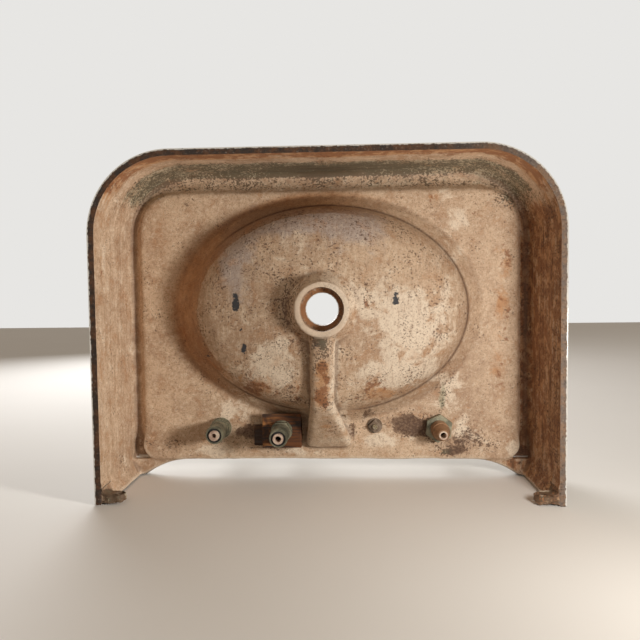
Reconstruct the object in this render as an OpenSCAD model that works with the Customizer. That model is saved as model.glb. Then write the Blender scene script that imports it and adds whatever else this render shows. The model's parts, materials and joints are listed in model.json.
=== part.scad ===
// Cast iron wash basin with a deep apron, three pillar taps and a chain stay.
// X runs left to right, Y from the user to the wall, Z up; the apron's rim stands on z = 0.

/* [Basin] */
// Width across the apron
sink_w = 610; // [580:5:660]
// Depth from the front of the apron to the wall
sink_d = 460; // [440:5:500]
// Height of the deck's flat underside above the apron's rim
deck_under = 124; // [112:1:150]
// Thickness of the deck and of the bowl's wall
deck_t = 8; // [6:0.5:9]
// Thickness of the apron
apron_t = 9; // [7:0.5:11]
// Radius of the apron's two front corners
corner_r = 108; // [90:2:120]
// Height of the roll rim above the deck
roll_rise = 16; // [14:0.5:20]
// Width of the hollow of the roll at the sides
gutter_side = 14; // [11:1:18]
// Width of the hollow of the roll at the front
gutter_front = 24; // [20:1:30]
// Distance from the wall to the rear edge of the deck
wall_gap = 25; // [18:1:30]
// Radius of the sweep from the deck's rear edge to the wall
sweep_r = 125; // [110:5:140]
// Radius of the deck's front corners, seen from below
deck_corner = 55; // [40:5:60]

/* [Bowl] */
// Half the bowl's length along X, at its widest
bowl_a = 208; // [195:1:215]
// Distance from the front of the apron to the bowl's edge, below
bowl_front_gap = 44; // [40:1:48]
// Distance from the wall to the bowl's edge, below
bowl_back_gap = 84; // [80:1:90]
// Radius where the bowl's wall turns into its floor
bowl_knuckle = 80; // [74:1:86]
// Height of the bowl's lowest outside point above the apron's rim
bowl_low = 36; // [30:1:42]
// Height of the bowl's widest level above that lowest point
bowl_h = 100; // [96:1:106]
// Width of the flare between bowl and deck, below
flare_w = 24; // [20:1:28]
// Height of the flare
flare_h = 22; // [18:1:25]
// Rounding of the bowl's edge, above
lip_r = 12; // [8:1:14]

/* [Drain and overflow] */
// Place of the drain to the side of the centre line
drain_x = -4.5; // [-8:0.5:8]
// Outside diameter of the drain boss
boss_d = 76; // [70:1:84]
// Diameter of the open mouth below
mouth_d = 55.5; // [50:0.5:60]
// Diameter of the waste hole in the bowl's floor
waste_d = 42; // [38:0.5:45]
// Height of the boss mouth above the apron's rim
boss_z = 12; // [6:1:16]
// Diameter of the seat round the waste hole
seat_d = 66; // [58:1:70]
// Width of the overflow channel
channel_w = 36; // [32:1:40]
// Width of the overflow channel where it meets the deck
channel_end_w = 70; // [60:2:80]
// Diameter of the overflow passage
passage_d = 12; // [10:0.5:14]
// Number of overflow holes in the bowl's wall
overflow_count = 5; // [3:2:5]
// Diameter of each overflow hole
overflow_d = 7; // [6:0.5:8]

/* [Wall ears] */
// Distance of each ear's screw hole from the centre line
ear_x = 275; // [266:1:278]
// Thickness of an ear along the wall's normal
ear_t = 16; // [12:1:18]
// Height of an ear
ear_h = 24; // [20:1:28]
// Diameter of the screw hole in an ear
ear_hole_d = 8; // [5:0.5:9]
// Width of the web inside each rear edge of the apron
web_w = 12; // [8:1:14]

/* [Tap places] */
// Distance of the hot and cold taps from the centre line
tap_x = 161; // [150:1:165]
// Distance of the middle tap from the centre line
middle_x = 68; // [62:1:74]
// Distance of the taps from the wall
tap_back = 74; // [70:1:78]
// Distance of the chain stay from the centre line
stay_x = 68; // [62:1:76]
// Distance of the chain stay from the wall
stay_back = 77; // [72:1:80]

/* [Taps] */
// Diameter of the threaded shank
shank_d = 20.6; // [18:0.2:22]
// Clearance of the deck hole round the shank
hole_gap = 1.2; // [0.8:0.1:2]
// Diameter of the base flange
flange_d = 46; // [42:1:48]
// Outside diameter of the tap's barrel
barrel_d = 30; // [28:0.5:34]
// Height of the barrel above its gasket
barrel_h = 62; // [58:1:70]
// Reach of the spout from the tap's axis
reach = 88; // [80:1:96]
// Angle by which the outer spouts turn in towards the bowl
spout_angle = 24; // [16:1:30]
// Outside diameter of the spout
spout_d = 21; // [19:0.5:23]
// Bore of the waterways
water_d = 10; // [8:0.5:11]
// Height of the valve seat above the gasket
seat_h = 28; // [26:1:30]
// Diameter of the spindle
spindle_d = 10; // [9:0.5:11]
// Rise of the spindle at full turn
lift = 4; // [3:0.5:5]
// Running clearance between a turning or sliding piece and its bore, on the radius
run = 0.06; // [0.04:0.01:0.1]
// Span of the cross handle
handle_span = 64; // [56:1:70]
// Thickness of the handle's arms
arm_d = 9; // [8:0.5:10]
// Diameter of the porcelain button
button_d = 17; // [15:0.5:18]

/* [Under the deck] */
// Thickness of the gasket above the deck
gasket_t = 2; // [1.5:0.5:3]
// Width across the flats of the hot tap's lock nut
hot_nut = 27; // [26:1:30]
// Width across the flats of the middle tap's lock nut
middle_nut = 27; // [26:1:30]
// Width across the flats of the cold tap's lock nut
cold_nut = 36; // [32:1:38]
// Height of a lock nut
nut_h = 8; // [6:0.5:10]
// Outside diameter of a coupling nut
coupling_d = 26; // [25:0.5:28]
// Distance of the coupling nuts' lower ends below the deck
tail_drop = 50; // [44:1:54]
// Outside diameter of the hot and middle tail tubes
tail_d = 14.6; // [13:0.2:15]
// Outside diameter of the cold tail tube
cold_tail_d = 12; // [11:0.2:13]
// Thickness of the wooden shim
shim_t = 20; // [16:1:22]
// Width of the wooden shim's face
shim_w = 58; // [54:1:62]
// Depth of the wooden shim's face
shim_d = 52; // [48:1:54]

/* [Chain stay] */
// Diameter of the chain stay's bolt
stay_d = 7.4; // [6:0.2:8]
// Width across the flats of its square nut
stay_nut_af = 14.4; // [13:0.2:16]

/* [Hidden] */
$fn = 64;
eps = 0.5;

// Basin levels and edges
half_w = sink_w / 2;
front_y = -sink_d / 2;
wall_y = sink_d / 2;
deck_top = deck_under + deck_t;
rim_top = deck_top + roll_rise;
roll_t = deck_t;
hollow_z = rim_top - roll_t;
inner_w = half_w - apron_t;
plate_x = inner_w - gutter_side;
plate_front = front_y + apron_t + gutter_front;
rear_y = wall_y - wall_gap;
recess_x = plate_x - roll_t;
recess_front = plate_front + roll_t;
recess_rear = rear_y - roll_t - 1;
roll_r = (half_w - recess_x) / 2;
recess_corner = deck_corner - roll_t;
recess_rear_corner = 30;
plate_rear_corner = 23;
sweep_inset = 100;
sweep_x = half_w - sweep_inset;
haunch_step = 3;
gutter_end = 2;
web_run = 40;
web_r = 60;
web_bite = 1;
ear_tip = 1.5;

// Bowl arcs: a wide floor arc meets a knuckle arc on the line through both centres
knuckle_x = bowl_a - bowl_knuckle;
knuckle_z = bowl_low + bowl_h;
floor_r = (knuckle_x * knuckle_x - bowl_knuckle * bowl_knuckle + bowl_h * bowl_h)
          / (2 * (bowl_h - bowl_knuckle));
floor_z = bowl_low + floor_r;
crease_z = deck_under - flare_h;
crease_x = knuckle_x + sqrt(pow(bowl_knuckle, 2) - pow(knuckle_z - crease_z, 2));
flare_x = crease_x + flare_w;
flare_sink = 3;
flare_bury = 12;
lip_x = knuckle_x + bowl_knuckle - deck_t;
bowl_floor = bowl_low + deck_t;

// The bowl's plan is an oval: its depth follows from the gaps in front of and behind it
bowl_half_d = (sink_d - bowl_front_gap - bowl_back_gap) / 2;
bowl_y = (bowl_front_gap - bowl_back_gap) / 2;
bowl_ratio = bowl_half_d / flare_x;

// Drain and overflow
mouth_top = bowl_low - 2;
seat_depth = 3;
end_y = rear_y - 31;
ball_r = 11;
channel_low = [drain_x, bowl_y + 20, bowl_low - 9];
channel_knee = [drain_x - 2, bowl_y + 0.777 * bowl_half_d, bowl_low + 22];
channel_mid = [-2, bowl_y + 1.0275 * bowl_half_d, deck_under - 12];
channel_end = [0, end_y, deck_under - 5];
chamber_w = 44;
chamber_h = 9;
overflow_z = deck_under - 5;
overflow_pitch = overflow_d + 3;
overflow_reach = 40;
flare_spread = 12;

// Taps
tap_y = wall_y - tap_back;
stay_y = wall_y - stay_back;
hole_d = shank_d + 2 * hole_gap;
base_z = deck_top + gasket_t;
seat_z = base_z + seat_h;
barrel_z = base_z + barrel_h;
chamber_d = 19;
washer_d = 15.6;
valve_t = 3;
disc_t = 3;
pin_d = 3.6;
flange_t = 4;
skirt_h = 8;
band_h = 5;
bead_z = 16;
bead_h = 3;
nozzle = 10;
thread_gap = 1.6;
spout_z = seat_z + water_d / 2 + 6;
bend_r = 20;
bonnet_z = barrel_z - 12;
collar_d = 14;
collar_low = barrel_z - 8;
collar_h = 17;
collar_top = collar_low + collar_h;
bonnet_roof = collar_top + lift + 1.5;
bonnet_hex = 33;
bonnet_hex_h = 8;
neck_d = 22;
neck_top = bonnet_roof + 10;
packing_h = 6;
packing_d = neck_d - 7;
cap_d = 28;
cap_low = neck_top - 7;
cap_top = neck_top + 4;
spindle_low = seat_z + valve_t + disc_t + 0.3;
spindle_top = cap_top + lift + 12;
stem_d = 5;
stem_h = 9;
square_a = 7;
square_low = spindle_top - 9;
hub_d = 24;
hub_low = square_low;
hub_h = 19;
arm_z = hub_low + 9.5;
knob_d = arm_d + 3;
hub_top = hub_low + hub_h;
screw_d = 4;
screw_l = 7;
screw_head_d = 8;
screw_head_h = 2.6;
tail_z = deck_under - tail_drop;
thread_pitch = 2.4;
washer_t = 2;
under_washer_d = 34;
nut_top = deck_under - washer_t;
recess_depth = 5;
collar_t = 4;
seal_t = 3;
ring_w = 3.1;
seal_w = 1.8;
open_rise = 14.5;
cone_rise = 18;
cone_h = 15;
cone_w = 1.4;
tail_out = 2;
tail_bore = 6.4;
middle_tail_bore = 8.6;
cold_tail_bore = 8.4;

// Shim
shim_front = tap_y - shim_d / 2;
shim_gap = 0.6;
shim_slope_y = bowl_y + bowl_ratio * sqrt(pow(flare_x, 2) - pow(middle_x - shim_w / 2, 2)) + shim_gap;
tongue_w = 14;
tongue_t = 9;
tongue_d = shim_d * 0.6;
tongue_y = shim_front + shim_d * 0.4 - 1;

// Chain stay
stay_nut_h = 5;
stay_washer_t = 1.6;
stay_tip = 4;
stay_low = deck_under - stay_washer_t - stay_nut_h - stay_tip;
stay_washer_d = 22;
stay_base_d = 20;
stay_base_t = 3;
stay_ball_r = 8;
stay_ball_z = deck_top + 19;
stay_eye_d = 5;

// A U-shaped outline, open at the wall, grown or shrunk by an inset all round
module u_plan(inset) {
    r = corner_r - inset;
    union() {
        for (side = [-1, 1]) translate([side * (half_w - corner_r), front_y + corner_r]) circle(r);
        translate([-(half_w - corner_r), front_y + inset]) square([sink_w - 2 * corner_r, corner_r]);
        translate([-(half_w - inset), front_y + corner_r])
            square([sink_w - 2 * inset, sink_d - corner_r + (inset > 0 ? eps : 0)]);
    }
}

// A rounded rectangle between two sides, with its own front and rear corner radii
module slab_plan(half, y1, y2, front_corner, rear_corner) {
    union() {
        for (side = [-1, 1]) {
            translate([side * (half - front_corner), y1 + front_corner]) circle(front_corner);
            translate([side * (half - rear_corner), y2 - rear_corner]) circle(rear_corner);
        }
        translate([-(half - front_corner), y1]) square([2 * (half - front_corner), front_corner + eps]);
        translate([-half, y1 + front_corner]) square([2 * half, y2 - y1 - front_corner - rear_corner]);
        translate([-(half - rear_corner), y2 - rear_corner - eps])
            square([2 * (half - rear_corner), rear_corner + eps]);
    }
}

// What is taken off the top outer edge to leave the roll's round shoulder
module roll_shoulder(r) {
    difference() {
        translate([-r, 0]) square([r + 20, r + 20]);
        translate([-r, 0]) circle(r);
    }
}

module shoulder_cut() {
    z = rim_top - roll_r;
    for (side = [-1, 1]) {
        translate([side * (half_w - corner_r), front_y + corner_r, z])
            rotate([0, 0, side > 0 ? -90 : 180])
                rotate_extrude(angle = 90) translate([corner_r, 0]) roll_shoulder(roll_r);
        translate([side * half_w, wall_y + 1, z]) rotate([90, 0, 0])
            linear_extrude(sink_d - corner_r + 1) mirror([side > 0 ? 0 : 1, 0]) roll_shoulder(roll_r);
    }
    translate([-(half_w - corner_r), front_y, z]) rotate([90, 0, 90])
        linear_extrude(sink_w - 2 * corner_r) mirror([1, 0]) roll_shoulder(roll_r);
}

// The plan of everything behind the deck's rear edge, swept round to the wall
module rear_plan() {
    translate([-sweep_x, rear_y]) square([2 * sweep_x, wall_gap + 1]);
    intersection() {
        for (side = [-1, 1]) translate([side * sweep_x, rear_y + sweep_r]) circle(sweep_r);
        translate([-half_w, rear_y]) square([sink_w, wall_gap + 1]);
    }
}

// Half section of the bowl, as a solid from its axis out to its skin; the two arcs meet at the tangent
module bowl_half(skin) {
    meet = knuckle_x * (1 + (bowl_knuckle - skin) / (floor_r - bowl_knuckle));
    top = deck_top + (skin > 0 ? 1 : 0);
    intersection() {
        translate([0, floor_z]) circle(floor_r - skin, $fn = 360);
        square([meet, top]);
    }
    intersection() {
        translate([knuckle_x, knuckle_z]) circle(bowl_knuckle - skin);
        translate([meet, 0]) square([half_w, top]);
    }
}

// The flare leans out from the crease to the deck; its lower end is buried in the bowl's wall
module flare_half() {
    inner = crease_x - flare_bury;
    low = crease_z - flare_sink;
    polygon([[inner, low], [crease_x - flare_sink * flare_w / flare_h, low],
             [flare_x, deck_under], [flare_x, deck_under + 1], [inner, deck_under + 1]]);
}

module lip_half() {
    difference() {
        translate([lip_x - 14, deck_top - lip_r]) square([lip_r + 14, lip_r + 1]);
        translate([lip_x + lip_r, deck_top - lip_r]) circle(lip_r);
        translate([0, 0]) square([lip_x - 13, deck_top + 2]);
    }
}

module bowl_revolve() {
    translate([0, bowl_y, 0]) scale([1, bowl_ratio, 1]) rotate_extrude() children();
}

// The overflow channel's outside: two rounded bars that meet at a knee
module channel_outside() {
    module end_balls(at, w) {
        for (side = [-1, 1]) translate(at + [side * (w / 2 - ball_r), 0, 0]) sphere(ball_r, $fn = 32);
    }
    hull() {
        end_balls(channel_low, channel_w);
        end_balls(channel_knee, channel_w);
    }
    hull() {
        end_balls(channel_knee, channel_w);
        end_balls(channel_mid, channel_w + flare_spread);
        end_balls(channel_end, channel_end_w);
    }
}

module bar_between(a, b, d) {
    v = b - a;
    translate(a) rotate([0, acos(v[2] / norm(v)), atan2(v[1], v[0])]) cylinder(d = d, h = norm(v));
}

module overflow_inside() {
    translate(channel_knee) sphere(d = passage_d + 1);
    bar_between(channel_low, channel_knee, passage_d);
    bar_between(channel_knee, channel_mid, passage_d);
    translate([-chamber_w / 2, channel_mid[1] - 6, deck_under - chamber_h - 1])
        cube([chamber_w, channel_end[1] - channel_mid[1] + 6, chamber_h]);
    for (i = [0 : overflow_count - 1])
        translate([(i - (overflow_count - 1) / 2) * overflow_pitch, channel_mid[1], overflow_z])
            rotate([90, 0, 0]) cylinder(d = overflow_d, h = overflow_reach);
}

// A lug that stands against the wall, with a rounded tip and a screw hole through it
module ear(side) {
    tip_x = ear_x - (ear_h - ear_t) / 2 - ear_tip;
    difference() {
        union() {
            intersection() {
                translate([side * ear_x, wall_y, ear_h / 2]) rotate([90, 0, 0])
                    cylinder(d = ear_h, h = ear_t);
                union() {
                    translate([side * tip_x, wall_y - ear_t / 2, -1]) cylinder(d = ear_t, h = ear_h + 2);
                    translate([side > 0 ? tip_x : -(tip_x + ear_h), wall_y - ear_t, -1])
                        cube([ear_h, ear_t, ear_h + 2]);
                }
            }
            translate([side > 0 ? ear_x : -(inner_w + 2), wall_y - ear_t, 0])
                cube([inner_w + 2 - ear_x, ear_t, ear_h]);
        }
        translate([side * ear_x, wall_y + 1, ear_h / 2]) rotate([90, 0, 0])
            cylinder(d = ear_hole_d, h = ear_t + 2);
    }
}

// A web inside the apron's rear edge, from the rim up to the deck, with a hollow front face
module rear_web(side) {
    linear_extrude(deck_under + haunch_step + 1)
        mirror([side > 0 ? 0 : 1, 0])
            difference() {
                translate([inner_w - web_w, wall_y - web_run]) square([web_w + 2, web_run]);
                translate([inner_w + web_bite - web_r, wall_y - web_run]) circle(web_r);
            }
}

module under_space() {
    difference() {
        translate([0, 0, -1]) linear_extrude(hollow_z + 1) u_plan(apron_t);
        translate([0, 0, deck_under])
            linear_extrude(deck_t + roll_rise)
                slab_plan(plate_x, plate_front, rear_y, deck_corner, plate_rear_corner);
        translate([-half_w, rear_y - gutter_end, deck_under + haunch_step])
            cube([sink_w, gutter_end + wall_gap + 1, roll_rise + deck_t]);
    }
}

module sink_casting() color([0.80, 0.72, 0.61]) {
    difference() {
        union() {
            difference() {
                linear_extrude(rim_top) u_plan(0);
                under_space();
            }
            bowl_revolve() {
                bowl_half(0);
                flare_half();
            }
            channel_outside();
            translate([drain_x, bowl_y - 3, boss_z]) cylinder(d = boss_d, h = bowl_low + 4 - boss_z);
            translate([drain_x, bowl_y - 3, boss_z + 8])
                cylinder(r1 = boss_d / 2, r2 = boss_d / 2 + 12, h = bowl_low - boss_z - 4);
            for (side = [-1, 1]) {
                ear(side);
                rear_web(side);
            }
        }
        shoulder_cut();
        translate([0, 0, deck_top])
            linear_extrude(roll_rise + 1)
                slab_plan(recess_x, recess_front, recess_rear, recess_corner, recess_rear_corner);
        translate([0, 0, ear_h + 1]) linear_extrude(rim_top) rear_plan();
        bowl_revolve() {
            bowl_half(deck_t);
            lip_half();
        }
        translate([drain_x, bowl_y - 3, boss_z - 1]) cylinder(d = mouth_d, h = mouth_top - boss_z + 1);
        translate([drain_x, bowl_y - 3, mouth_top - 1]) cylinder(d = waste_d, h = 30);
        translate([drain_x, bowl_y - 3, bowl_floor - seat_depth]) cylinder(d = seat_d, h = 20);
        overflow_inside();
        for (x = [-tap_x, -middle_x, tap_x])
            translate([x, tap_y, deck_under - 20]) cylinder(d = hole_d, h = deck_t + 40);
        translate([stay_x, stay_y, deck_under - 20]) cylinder(d = stay_d + 1, h = deck_t + 40);
    }
}

// A packing piece of wood under the deck, sloped to clear the bowl's flare, with a thin tongue on its left
module shim_block() color([0.55, 0.33, 0.17])
    difference() {
        union() {
            translate([-middle_x - shim_w / 2, 0, 0]) rotate([90, 0, 90]) linear_extrude(shim_w)
                polygon([[shim_front, deck_under - shim_t], [shim_front + shim_d, deck_under - shim_t],
                         [shim_front + shim_d, deck_under], [shim_slope_y, deck_under]]);
            translate([-middle_x - shim_w / 2 - tongue_w, tongue_y, deck_under - tongue_t])
                cube([tongue_w + eps, tongue_d, tongue_t]);
        }
        translate([-middle_x, tap_y, deck_under - shim_t - 1]) cylinder(d = hole_d, h = shim_t + 2);
    }

module chain_stay() color([0.70, 0.62, 0.42])
    translate([stay_x, stay_y, 0])
        difference() {
            union() {
                translate([0, 0, stay_low]) cylinder(d = stay_d, h = deck_top - stay_low + 1);
                translate([0, 0, deck_top]) cylinder(d = stay_base_d, h = stay_base_t);
                translate([0, 0, deck_top + stay_base_t]) cylinder(r1 = 8, r2 = 5, h = 5);
                translate([0, 0, deck_top]) cylinder(r = 5, h = 16);
                translate([0, 0, stay_ball_z]) sphere(stay_ball_r);
            }
            translate([0, 20, stay_ball_z]) rotate([90, 0, 0]) cylinder(d = stay_eye_d, h = 40);
        }

module stay_washer() color([0.40, 0.36, 0.32])
    translate([stay_x, stay_y, deck_under - stay_washer_t])
        difference() {
            cylinder(d = stay_washer_d, h = stay_washer_t);
            translate([0, 0, -1]) cylinder(d = stay_d + 0.6, h = stay_washer_t + 2);
        }

module stay_nut() color([0.42, 0.38, 0.33])
    translate([stay_x, stay_y, deck_under - stay_washer_t - stay_nut_h])
        difference() {
            rotate([0, 0, 45]) translate([-stay_nut_af / 2, -stay_nut_af / 2, 0])
                cube([stay_nut_af, stay_nut_af, stay_nut_h]);
            translate([0, 0, -1]) cylinder(d = stay_d + 0.2, h = stay_nut_h + 2);
        }

// The tap's casting: flange, barrel, spout and the threaded shank through the deck
module spout_path(d) {
    drop = reach - bend_r;
    translate([0, 0, spout_z]) rotate([90, 0, 0]) cylinder(d = d, h = drop);
    translate([0, -drop, spout_z - bend_r]) rotate([90, 0, -90])
        rotate_extrude(angle = 90) translate([bend_r, 0]) circle(d = d);
}

module tap_body(shank_low) {
    difference() {
        union() {
            translate([0, 0, base_z]) cylinder(d = flange_d, h = flange_t);
            translate([0, 0, base_z + flange_t])
                cylinder(r1 = flange_d / 2 - 2, r2 = barrel_d / 2, h = skirt_h);
            translate([0, 0, base_z]) cylinder(d = barrel_d, h = barrel_h);
            translate([0, 0, barrel_z - band_h]) cylinder(d = barrel_d + 3, h = band_h);
            translate([0, 0, base_z + bead_z]) cylinder(d = barrel_d + 2, h = bead_h);
            spout_path(spout_d);
            translate([0, -reach, spout_z - bend_r - nozzle]) cylinder(d = spout_d, h = nozzle);
            translate([0, -reach, spout_z - bend_r - nozzle]) cylinder(d = spout_d + 3, h = band_h);
            translate([0, 0, shank_low]) cylinder(d = shank_d - thread_gap, h = base_z - shank_low);
            for (z = [shank_low + 1 : thread_pitch : deck_under - 1])
                translate([0, 0, z]) cylinder(d = shank_d, h = thread_pitch * 0.55);
            translate([0, 0, deck_under]) cylinder(d = shank_d, h = base_z - deck_under);
        }
        translate([0, 0, shank_low - 1]) cylinder(d = water_d, h = seat_z - shank_low + 2);
        translate([0, 0, seat_z]) cylinder(d = chamber_d, h = barrel_h);
        difference() {
            spout_path(water_d);
            translate([0, 0, base_z]) cylinder(d = barrel_d - 16, h = barrel_h);
        }
        translate([0, -reach, spout_z - bend_r - nozzle - 1]) cylinder(d = water_d, h = nozzle + 2);
    }
}

// The bonnet screws into the barrel, and holds the spindle's collar and the packing
module bonnet() {
    difference() {
        union() {
            translate([0, 0, bonnet_z]) cylinder(r = chamber_d / 2 - run, h = barrel_z - bonnet_z);
            translate([0, 0, barrel_z]) cylinder(d = bonnet_hex, h = bonnet_hex_h, $fn = 6);
            translate([0, 0, barrel_z]) cylinder(d = neck_d, h = neck_top - barrel_z);
        }
        translate([0, 0, bonnet_z - 1]) cylinder(r = collar_d / 2 + run, h = bonnet_roof - bonnet_z + 1);
        translate([0, 0, bonnet_z]) cylinder(r = spindle_d / 2 + run, h = neck_top);
        translate([0, 0, neck_top - packing_h]) cylinder(d = packing_d, h = packing_h + 1);
    }
}

module packing_ring() {
    translate([0, 0, neck_top - packing_h]) difference() {
        cylinder(r = packing_d / 2 - run, h = packing_h);
        translate([0, 0, -1]) cylinder(r = spindle_d / 2 + run, h = packing_h + 2);
    }
}

module packing_nut() {
    difference() {
        union() {
            translate([0, 0, cap_low]) cylinder(d = cap_d, h = cap_top - cap_low - 2, $fn = 6);
            translate([0, 0, cap_top - 2]) cylinder(r1 = cap_d / 2 - 2, r2 = cap_d / 2 - 5, h = 2);
        }
        translate([0, 0, cap_low - 1]) cylinder(r = neck_d / 2 + run, h = neck_top - cap_low + 1);
        translate([0, 0, cap_low]) cylinder(r = spindle_d / 2 + run, h = cap_top);
    }
}

module spindle() {
    difference() {
        union() {
            translate([0, 0, spindle_low]) cylinder(d = spindle_d, h = square_low - spindle_low);
            translate([0, 0, collar_low]) cylinder(d = collar_d, h = collar_h);
            translate([-square_a / 2, -square_a / 2, square_low - 1])
                cube([square_a, square_a, spindle_top - square_low + 1]);
        }
        translate([0, 0, spindle_low - 1]) cylinder(r = stem_d / 2 + run, h = stem_h + 2);
        translate([0, 0, spindle_top - screw_l - 1]) cylinder(r = screw_d / 2 + run, h = screw_l + 2);
    }
}

// A cross handle: a hub on the spindle's square, and four arms with round ends
module handle() {
    well = hub_top - spindle_top;
    difference() {
        union() {
            translate([0, 0, hub_low]) cylinder(d = hub_d, h = hub_h);
            translate([0, 0, hub_low + 7]) cylinder(d = hub_d + 3, h = band_h);
            for (a = [0, 90]) rotate([0, 0, a]) {
                translate([-handle_span / 2 + arm_d / 2, 0, arm_z]) rotate([0, 90, 0])
                    cylinder(d = arm_d, h = handle_span - arm_d);
                for (side = [-1, 1]) translate([side * (handle_span - knob_d) / 2, 0, arm_z])
                    sphere(d = knob_d);
            }
        }
        translate([-square_a / 2 - run, -square_a / 2 - run, hub_low - 1])
            cube([square_a + 2 * run, square_a + 2 * run, hub_h - well + 1]);
        translate([0, 0, spindle_top]) cylinder(r = button_d / 2 + run, h = well + 1);
    }
}

module handle_screw() {
    translate([0, 0, spindle_top]) cylinder(d = screw_head_d, h = screw_head_h);
    translate([0, 0, spindle_top - screw_l]) cylinder(d = screw_d, h = screw_l + eps);
}

// A plain porcelain button, hollow below to clear the screw's head
module button() {
    low = spindle_top + 0.2;
    difference() {
        union() {
            translate([0, 0, low]) cylinder(d = button_d, h = hub_top - low);
            translate([0, 0, hub_top])
                rotate_extrude() intersection() {
                    translate([0, -20]) circle(22);
                    square([button_d / 2, 4]);
                }
        }
        translate([0, 0, low - 1]) cylinder(d = screw_head_d + 1.5, h = screw_head_h + 1.5);
    }
}

module jumper() {
    translate([0, 0, seat_z + valve_t]) cylinder(d = washer_d, h = disc_t);
    translate([0, 0, seat_z + valve_t]) cylinder(d = stem_d, h = disc_t + stem_h);
    translate([0, 0, seat_z + 0.5]) cylinder(d = pin_d, h = valve_t);
}

module valve_washer() {
    translate([0, 0, seat_z]) difference() {
        cylinder(d = washer_d, h = valve_t);
        translate([0, 0, -1]) cylinder(d = pin_d + 0.2, h = valve_t + 2);
    }
}

module ring(z, outer, inner, h) {
    translate([0, 0, z]) difference() {
        cylinder(d = outer, h = h);
        translate([0, 0, -1]) cylinder(d = inner, h = h + 2);
    }
}

module lock_nut(top, across) {
    translate([0, 0, top - nut_h]) difference() {
        cylinder(d = across / cos(30), h = nut_h, $fn = 6);
        translate([0, 0, -1]) cylinder(r = shank_d / 2 + run, h = nut_h + 2);
    }
}

// The ribs of a coupling nut, from one height up to another
module ribbed(low, top) {
    rib = 3.4;
    translate([0, 0, low]) cylinder(d = coupling_d - 2, h = top - low);
    for (z = [low + rib : rib : top - 2])
        translate([0, 0, z]) cylinder(d = coupling_d, h = rib * 0.6);
}

// The nut that draws the tail tube's collar up to the shank; its open end holds a rubber ring
module open_nut(low, shank_low, top, tube) {
    difference() {
        ribbed(low, top);
        translate([0, 0, low - 1]) cylinder(r = tube / 2 + ring_w, h = recess_depth + 1);
        translate([0, 0, low]) cylinder(r = tube / 2 + run, h = top - low);
        translate([0, 0, shank_low - collar_t]) cylinder(r = shank_d / 2 + run, h = top - low);
    }
}

// A coupling nut that narrows to a cone round a thin tube, with its ring hidden under the collar
module cone_nut(low, shank_low, top, tube) {
    step = shank_low - collar_t;
    difference() {
        union() {
            ribbed(low + cone_h, top);
            translate([0, 0, low]) cylinder(r1 = tube / 2 + cone_w, r2 = coupling_d / 2 - 1, h = cone_h);
        }
        translate([0, 0, low - 1]) cylinder(r = tube / 2 + run, h = top - low);
        translate([0, 0, step - seal_t]) cylinder(r = tube / 2 + seal_w, h = seal_t + 1);
        translate([0, 0, step]) cylinder(r = shank_d / 2 + run, h = top - low);
    }
}

module tail(low, shank_low, tube, bore) {
    difference() {
        union() {
            translate([0, 0, low - tail_out]) cylinder(d = tube, h = shank_low - low + tail_out);
            translate([0, 0, shank_low - collar_t]) cylinder(d = shank_d, h = collar_t);
        }
        translate([0, 0, low - tail_out - 1]) cylinder(d = bore, h = shank_low - low + tail_out + 2);
    }
}

// Places one of the three taps' pieces
module at_tap(x) {
    turn = abs(x) == tap_x ? -sign(x) * spout_angle : 0;
    translate([x, tap_y, 0]) rotate([0, 0, turn]) children();
}

brass = [0.66, 0.60, 0.42];
tarnish = [0.48, 0.47, 0.38];
rubber = [0.12, 0.12, 0.12];
porcelain = [0.95, 0.94, 0.90];

// Pieces of one tap, chosen by name; below the deck they sit lower by the drop
module tap_piece(piece, x, drop, nut_af, tube, bore) {
    top = nut_top - drop;
    low = tail_z - drop;
    cone = x == tap_x;
    shank_low = low + (cone ? cone_rise : open_rise);
    at_tap(x) {
        if (piece == "tap_body") color(brass) tap_body(shank_low);
        if (piece == "bonnet") color(brass) bonnet();
        if (piece == "packing_nut") color(brass) packing_nut();
        if (piece == "packing_ring") color([0.75, 0.70, 0.58]) packing_ring();
        if (piece == "spindle") color(brass) spindle();
        if (piece == "handle") color(brass) handle();
        if (piece == "handle_screw") color(tarnish) handle_screw();
        if (piece == "button") color(porcelain) button();
        if (piece == "jumper") color(brass) jumper();
        if (piece == "valve_washer") color(rubber) valve_washer();
        if (piece == "gasket") color(rubber) ring(deck_top, flange_d - 2, shank_d + 0.6, gasket_t);
        if (piece == "washer") color(tarnish)
            ring(top, min(under_washer_d, nut_af + 4), shank_d + 0.4, washer_t);
        if (piece == "lock_nut") color(tarnish) lock_nut(top, nut_af);
        if (piece == "coupling_nut") color(tarnish) {
            if (cone) cone_nut(low, shank_low, top - nut_h - 1, tube);
            if (!cone) open_nut(low, shank_low, top - nut_h - 1, tube);
        }
        if (piece == "tail") color(tarnish) tail(low, shank_low, tube, bore);
        if (piece == "tail_ring") color(rubber) {
            z = (cone ? shank_low - collar_t : low + recess_depth) - seal_t;
            ring(z, tube + 2 * (cone ? seal_w : ring_w) - 2 * run, tube + 2 * run, seal_t);
        }
    }
}

module hot(piece) tap_piece(piece, -tap_x, 0, hot_nut, tail_d, tail_bore);
module middle(piece) tap_piece(piece, -middle_x, shim_t, middle_nut, tail_d, middle_tail_bore);
module cold(piece) tap_piece(piece, tap_x, 0, cold_nut, cold_tail_d, cold_tail_bore);

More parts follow.
